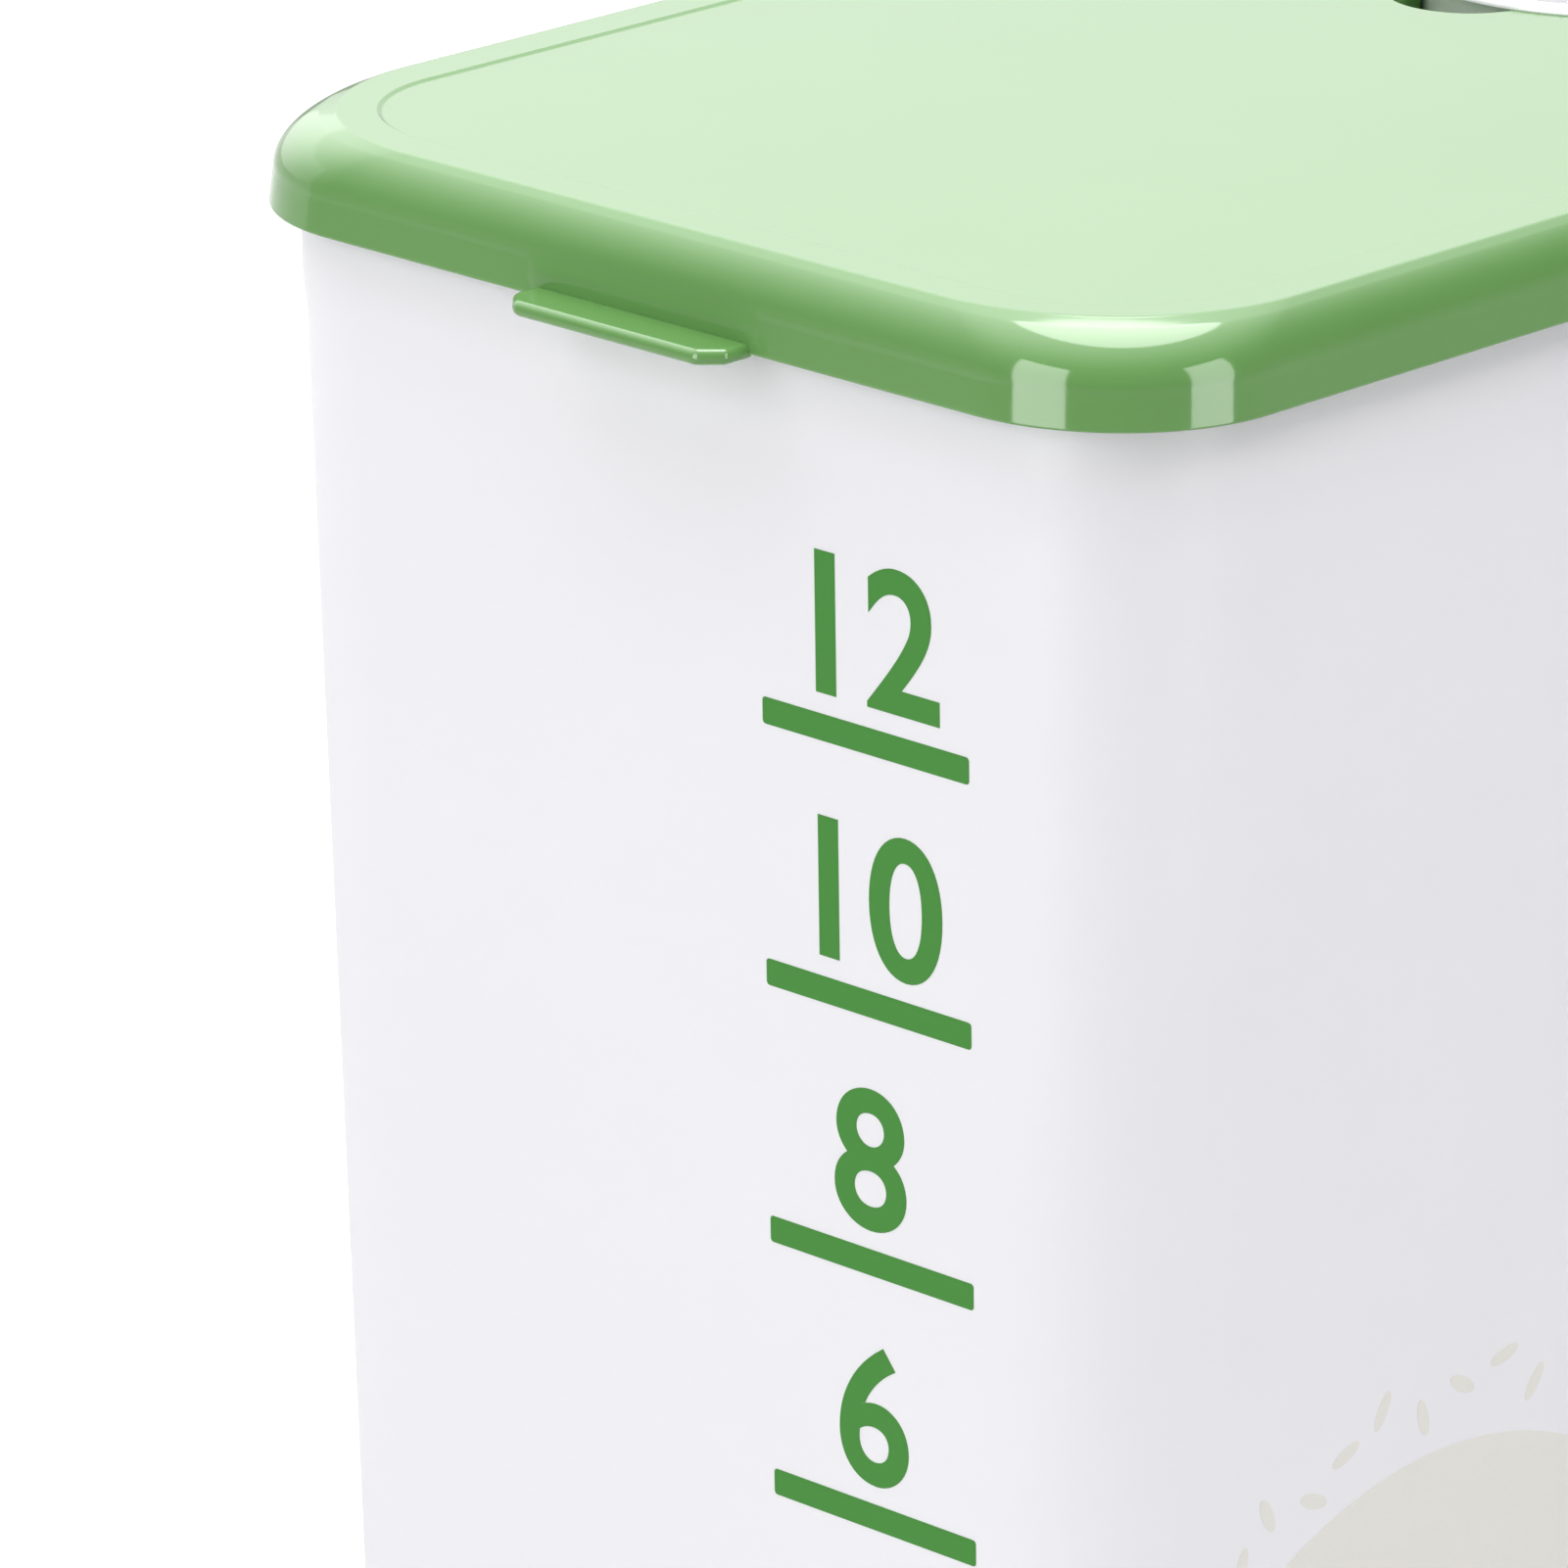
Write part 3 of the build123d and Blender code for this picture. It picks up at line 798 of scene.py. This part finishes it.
def grainShape(centre, lean):
    outline = []
    for step in range(grainHeap["grainSteps"]):
        angle = math.tau * step / grainHeap["grainSteps"]
        along = grainHeap["grainLong"] / 2 * math.cos(angle)
        beside = grainHeap["grainWide"] / 2 * math.sin(angle)
        outline.append((centre[0] + along * math.cos(lean) - beside * math.sin(lean),
                        centre[1] + along * math.sin(lean) + beside * math.cos(lean)))
    return flatShape(outline)


def makeGrainHeap():
    steps, grains = grainHeap["steps"], grainHeap["grains"]
    shapes = [flatShape([heapPoint(math.pi * step / steps, 1) for step in range(steps + 1)])]
    first, last = math.radians(grainHeap["firstAngle"]), math.radians(grainHeap["lastAngle"])
    for grain in range(grains):
        swing = grain * grainHeap["turnPerGrain"]
        away = grainHeap["nearest"] + grainHeap["spread"] * (swing % 360) / 360
        centre = heapPoint(first + (last - first) * grain / (grains - 1), away)
        shapes.append(grainShape(centre, math.radians(swing)))
    printOnWall("grainHeap", shapes, "right", grainMaterial)


makeLevelScale()
makeGrainHeap()

cup = {"flangeTop": 0.8, "flangeUnder": 0.25, "wall": 1.6, "innerRound": 2.5, "outerRound": 2.0,
       "lipRound": 0.5, "neckRound": 0.5, "middle": 2.0, "footRise": 0.5, "footInset": 3.0, "footSlope": 0.8,
       "footEdge": 0.3, "ringHeights": (20.0, 40.0), "ringRise": 0.25, "ringHalf": 0.6, "ringEdge": 0.2,
       "steps": 120}


def turned(name, centre, profile, steps):
    # a turned piece; its section is (radius, height, 0, edge round) from one face's middle to the other's
    bm = bmesh.new()
    section = [(radius, height) for radius, height, plan in roundedProfile(profile)]
    first, last = stackRings(bm, [circleRing(centre, radius, height, steps) for radius, height in section])
    bm.faces.new(first)
    bm.faces.new(last)
    return makeObject(name, bm)


def makeCup():
    low, high = cupLow.z, cupHigh.z
    flange = (cupHigh.x - cupLow.x) / 2
    under = high - well["flange"]
    lean = (well["mouth"] - well["base"]) / (under - low)

    def outer(height):
        return well["base"] + lean * (height - low)

    hollow = low + cup["wall"]
    footInside = well["base"] - cup["footInset"]
    profile = [(cup["middle"], low + cup["footRise"], 0, 0),
               (footInside - cup["footSlope"], low + cup["footRise"], 0, cup["footEdge"]),
               (footInside, low, 0, cup["footEdge"]),
               (well["base"], low, 0, cup["outerRound"]),
               (outer(under), under, 0, cup["neckRound"]),
               (flange, under, 0, cup["flangeUnder"]),
               (flange, high, 0, cup["flangeTop"]),
               (well["mouth"] - cup["wall"], high, 0, cup["lipRound"])]
    for ring in sorted(cup["ringHeights"], reverse=True):
        height = low + ring
        inner = outer(height) - cup["wall"]
        profile += [(inner + lean * cup["ringHalf"], height + cup["ringHalf"], 0, cup["ringEdge"]),
                    (inner - cup["ringRise"], height, 0, cup["ringEdge"]),
                    (inner - lean * cup["ringHalf"], height - cup["ringHalf"], 0, cup["ringEdge"])]
    profile += [(outer(hollow) - cup["wall"], hollow, 0, cup["innerRound"]), (cup["middle"], hollow, 0, 0)]
    return turned("cupShell", (0, cupY), profile, cup["steps"])


finishPiece(makeCup(), cupWhite, "cup", ["measuring_cup"])

seal = {"baseHeight": 1.3, "lipInset": 1.0, "width": 4.0, "outerInset": 4.4, "seam": 1.0, "topEdge": 0.1,
        "edge": 0.3, "rootRound": 0.4, "lipRound": 0.9}


def makeSeal():
    # a flat foot against the lid with a rounded lip hanging from it
    low, high = [corner.z for corner in nodeBox("lid_seal")]
    outer, inner = seal["outerInset"], seal["outerInset"] + seal["width"]
    step = high - seal["baseHeight"]
    corner = tub["corner"] + seal["outerInset"]
    lipOuter, lipInner = outer + seal["lipInset"], inner - seal["lipInset"]
    section = [(outer + seal["seam"], high, 0), (outer, high, seal["topEdge"]), (outer, step, seal["edge"]),
               (lipOuter, step, seal["rootRound"]), (lipOuter, low, seal["lipRound"]),
               (lipInner, low, seal["lipRound"]), (lipInner, step, seal["rootRound"]),
               (inner, step, seal["edge"]), (inner, high, seal["topEdge"]), (outer + seal["seam"], high, 0)]
    points = roundedProfile([(inset, height, corner - inset, edge) for inset, height, edge in section])[:-1]
    bm = bmesh.new()
    rings = [addRing(bm, planRing(*point)) for point in points]
    for index in range(len(rings)):
        bridge(bm, rings[index - 1], rings[index])
    return makeObject("sealRing", bm)


finishPiece(makeSeal(), sealMaterial, "lid", ["lid_seal"])

pin = {"chamfer": 0.4, "edge": 0.15, "faceMiddle": 0.8, "steps": 48}


def makePin(side):
    low, high = nodeBox("hinge_pin_" + side)
    radius, centre = (high.z - low.z) / 2, (low + high) / 2
    middle, narrow, edge = pin["faceMiddle"], radius - pin["chamfer"], pin["edge"]
    first = [(middle, low.x, 0, 0), (narrow, low.x, 0, edge), (radius, low.x + pin["chamfer"], 0, edge)]
    last = [(radius, high.x - pin["chamfer"], 0, edge), (narrow, high.x, 0, edge), (middle, high.x, 0, 0)]
    piece = turned("hingePin" + side.capitalize(), (0, 0), first + last, pin["steps"])
    moved = Matrix.Translation(Vector((0, centre.y, centre.z)) / perMetre)
    piece.data.transform(moved @ Matrix.Rotation(math.pi / 2, 4, "Y"))
    return piece


for side in ("left", "right"):
    finishPiece(makePin(side), steelMaterial, "bin", ["hinge_pin_" + side])

foot = {"edge": 0.6, "topEdge": 0.3, "middle": 1.0, "grooves": (3.2, 6.0), "grooveWidth": 0.9,
        "grooveFlat": 0.4, "grooveDepth": 0.5, "grooveEdge": 0.15, "grooveRoot": 0.1, "steps": 64}


def makeFoot(node):
    # a disc with round grooves in its underside
    low, high = nodeBox(node)
    radius = (high.x - low.x) / 2
    side = foot["grooveWidth"] * (1 - foot["grooveFlat"]) / 2
    profile = [(foot["middle"], high.z, 0, 0), (radius, high.z, 0, foot["topEdge"]),
               (radius, low.z, 0, foot["edge"])]
    for inner in sorted(foot["grooves"], reverse=True):
        outer, deep = inner + foot["grooveWidth"], low.z + foot["grooveDepth"]
        profile += [(outer, low.z, 0, foot["grooveEdge"]), (outer - side, deep, 0, foot["grooveRoot"]),
                    (inner + side, deep, 0, foot["grooveRoot"]), (inner, low.z, 0, foot["grooveEdge"])]
    profile.append((foot["middle"], low.z, 0, 0))
    words = "".join(word.capitalize() for word in node.split("_")[1:])
    return turned("foot" + words, (low + high) / 2, profile, foot["steps"])


for node in footNodes:
    finishPiece(makeFoot(node), footMaterial, "bin", [node])

camera = {"azimuth": 43.2967, "elevation": 18.6756, "roll": 0.3866, "distance": 1639.08,
          "target": (75.66, -200.65, 278.16), "focalPixels": 11145.0, "framePixels": 1601, "sensor": 36.0,
          "clipEnd": 100.0}


def addCamera():
    azimuth, elevation, roll = [math.radians(camera[key]) for key in ("azimuth", "elevation", "roll")]
    right = Vector((math.cos(azimuth), math.sin(azimuth), 0))
    ahead = Vector((-math.sin(azimuth), math.cos(azimuth), 0))
    forward = ahead * math.cos(elevation) - Vector((0, 0, math.sin(elevation)))
    up = right.cross(forward)
    rolledRight = right * math.cos(roll) + up * math.sin(roll)
    rolledUp = up * math.cos(roll) - right * math.sin(roll)
    data = bpy.data.cameras.new("camera")
    data.sensor_width = camera["sensor"]
    data.lens = camera["sensor"] * camera["focalPixels"] / camera["framePixels"]
    data.clip_end = camera["clipEnd"]
    holder = bpy.data.objects.new("camera", data)
    bpy.context.scene.collection.objects.link(holder)
    turn = Matrix((rolledRight, rolledUp, -forward)).transposed().to_4x4()
    place = (Vector(camera["target"]) - forward * camera["distance"]) / perMetre
    holder.matrix_world = Matrix.Translation(place) @ turn
    bpy.context.scene.camera = holder


white = colour("#ffffff")
studioFloor = {"halfWidth": 30000.0, "segments": 8, "bounce": "#f2f2f2", "glow": 0.4}


def addFloor():
    # pale floor: white to the camera, a shade darker for the light that it throws back
    bm = bmesh.new()
    bmesh.ops.create_grid(bm, x_segments=studioFloor["segments"], y_segments=studioFloor["segments"],
                          size=studioFloor["halfWidth"])
    floor = makeObject("floor", bm)
    material, tree = startMaterial("white studio floor")[:2]
    path = addNode(tree, "ShaderNodeLightPath")
    mix = addNode(tree, "ShaderNodeMix", {
        "Factor": path.outputs["Is Camera Ray"], mixLow: colour(studioFloor["bounce"]), mixHigh: white},
        data_type="RGBA")
    matt = addNode(tree, "ShaderNodeBsdfDiffuse", {"Color": mix.outputs[mixResult]})
    lift = addNode(tree, "ShaderNodeMath", {
        0: path.outputs["Is Camera Ray"], 1: studioFloor["glow"]}, operation="MULTIPLY")
    glow = addNode(tree, "ShaderNodeEmission", {"Color": white, "Strength": lift.outputs["Value"]})
    shader = addNode(tree, "ShaderNodeAddShader", {0: matt.outputs["BSDF"], 1: glow.outputs["Emission"]})
    addNode(tree, "ShaderNodeOutputMaterial", {"Surface": shader.outputs["Shader"]})
    floor.data.materials.append(material)


# Azimuth and elevation are seen from the lid's front corner, and lights says which surfaces a box shines on.
# A box is raised by its lift, and a level one is round and hangs flat.
softboxes = [
    {"name": "low front softbox", "size": (1200, 1200), "azimuth": -17.0, "elevation": 20.0,
     "distance": 1600, "radiance": 1.85, "lights": "matt"},
    {"name": "high left softbox", "size": (1200, 1200), "azimuth": -60.0, "elevation": 65.0,
     "distance": 1600, "radiance": 2.5, "lights": "matt"},
    {"name": "high right softbox", "size": (1200, 1200), "azimuth": 107.0, "elevation": 65.0,
     "distance": 1600, "radiance": 4.3, "lights": "matt"},
    {"name": "left strip", "size": (500, 1060), "azimuth": -0.6, "elevation": 0.0, "distance": 900,
     "lift": 210, "radiance": 6.8, "lights": "gloss"},
    {"name": "right strip", "size": (416, 1060), "azimuth": 99.0, "elevation": 0.0, "distance": 900,
     "lift": 210, "radiance": 6.0, "lights": "gloss"},
    {"name": "far left strip", "size": (900, 640), "azimuth": -93.0, "elevation": 0.0, "distance": 900,
     "lift": 20, "radiance": 0.6, "lights": "gloss"},
    {"name": "corner softbox", "size": (660, 840), "azimuth": -142.1, "elevation": 67.1, "distance": 1085,
     "radiance": 7.0, "lights": "gloss", "level": True},
]


def towards(azimuth, elevation):
    # a direction, with azimuth 0 in front of the bin and 90 at its right
    turn, rise = math.radians(azimuth), math.radians(elevation)
    return Vector((math.sin(turn) * math.cos(rise), -math.cos(turn) * math.cos(rise), math.sin(rise)))


def addSoftbox(box):
    # radiance 1 looks white in a mirror; a box for gloss shows in shiny plastic and adds no other light
    lamp = bpy.data.lights.new(box["name"], "AREA")
    lamp.shape = "ELLIPSE" if box.get("level") else "RECTANGLE"
    lamp.size, lamp.size_y = [side / perMetre for side in box["size"]]
    share = math.pi / 4 if lamp.shape == "ELLIPSE" else 1
    lamp.energy = box["radiance"] * math.pi * lamp.size * lamp.size_y * share
    holder = bpy.data.objects.new(box["name"], lamp)
    bpy.context.scene.collection.objects.link(holder)
    way = towards(box["azimuth"], box["elevation"])
    corner = Vector((lidRight, lidFront, rimTop + box.get("lift", 0)))
    holder.location = (corner + way * box["distance"]) / perMetre
    if box.get("level"):
        holder.rotation_euler = (0, 0, math.radians(box["azimuth"]))
    else:
        holder.rotation_euler = way.to_track_quat("Z", "Y").to_euler()
    holder.visible_camera = False
    holder.visible_diffuse = box["lights"] == "matt"
    holder.visible_glossy = box["lights"] == "gloss"


backdrop = {"azimuth": -114.0, "elevation": 58.0, "bright": 4.5, "fall": 2.2, "around": 0.1, "room": 0.45}


def addWorld():
    # an even white room; shiny surfaces also mirror a brighter backdrop, which fades out to the sides
    world = bpy.data.worlds.new("studio")
    bpy.context.scene.world = world
    world.use_nodes = True
    tree = world.node_tree
    tree.nodes.clear()
    path = addNode(tree, "ShaderNodeLightPath")
    place = addNode(tree, "ShaderNodeTexCoord")
    even = addNode(tree, "ShaderNodeMapRange", {
        "Value": path.outputs["Is Camera Ray"], "To Min": backdrop["room"], "To Max": 1.0})
    facing = addNode(tree, "ShaderNodeVectorMath", {
        0: place.outputs["Generated"], 1: towards(backdrop["azimuth"], backdrop["elevation"])},
        operation="DOT_PRODUCT")
    above = addNode(tree, "ShaderNodeMath", {
        0: facing.outputs["Value"], 1: 0.0}, operation="MAXIMUM")
    faded = addNode(tree, "ShaderNodeMath", {
        0: above.outputs["Value"], 1: backdrop["fall"]}, operation="POWER")
    bright = addNode(tree, "ShaderNodeMath", {
        0: faded.outputs["Value"], 1: backdrop["bright"], 2: backdrop["around"]}, operation="MULTIPLY_ADD")
    around = addNode(tree, "ShaderNodeBackground", {"Color": white, "Strength": even.outputs["Result"]})
    mirrored = addNode(tree, "ShaderNodeBackground", {"Color": white, "Strength": bright.outputs["Value"]})
    mix = addNode(tree, "ShaderNodeMixShader", {"Fac": path.outputs["Is Glossy Ray"]})
    tree.links.new(around.outputs["Background"], mix.inputs[1])
    tree.links.new(mirrored.outputs["Background"], mix.inputs[2])
    addNode(tree, "ShaderNodeOutputWorld", {"Surface": mix.outputs["Shader"]})


for box in softboxes:
    addSoftbox(box)
addCamera()
addFloor()
addWorld()
bpy.context.scene.view_settings.view_transform = "Standard"
print("stage, light and camera made")
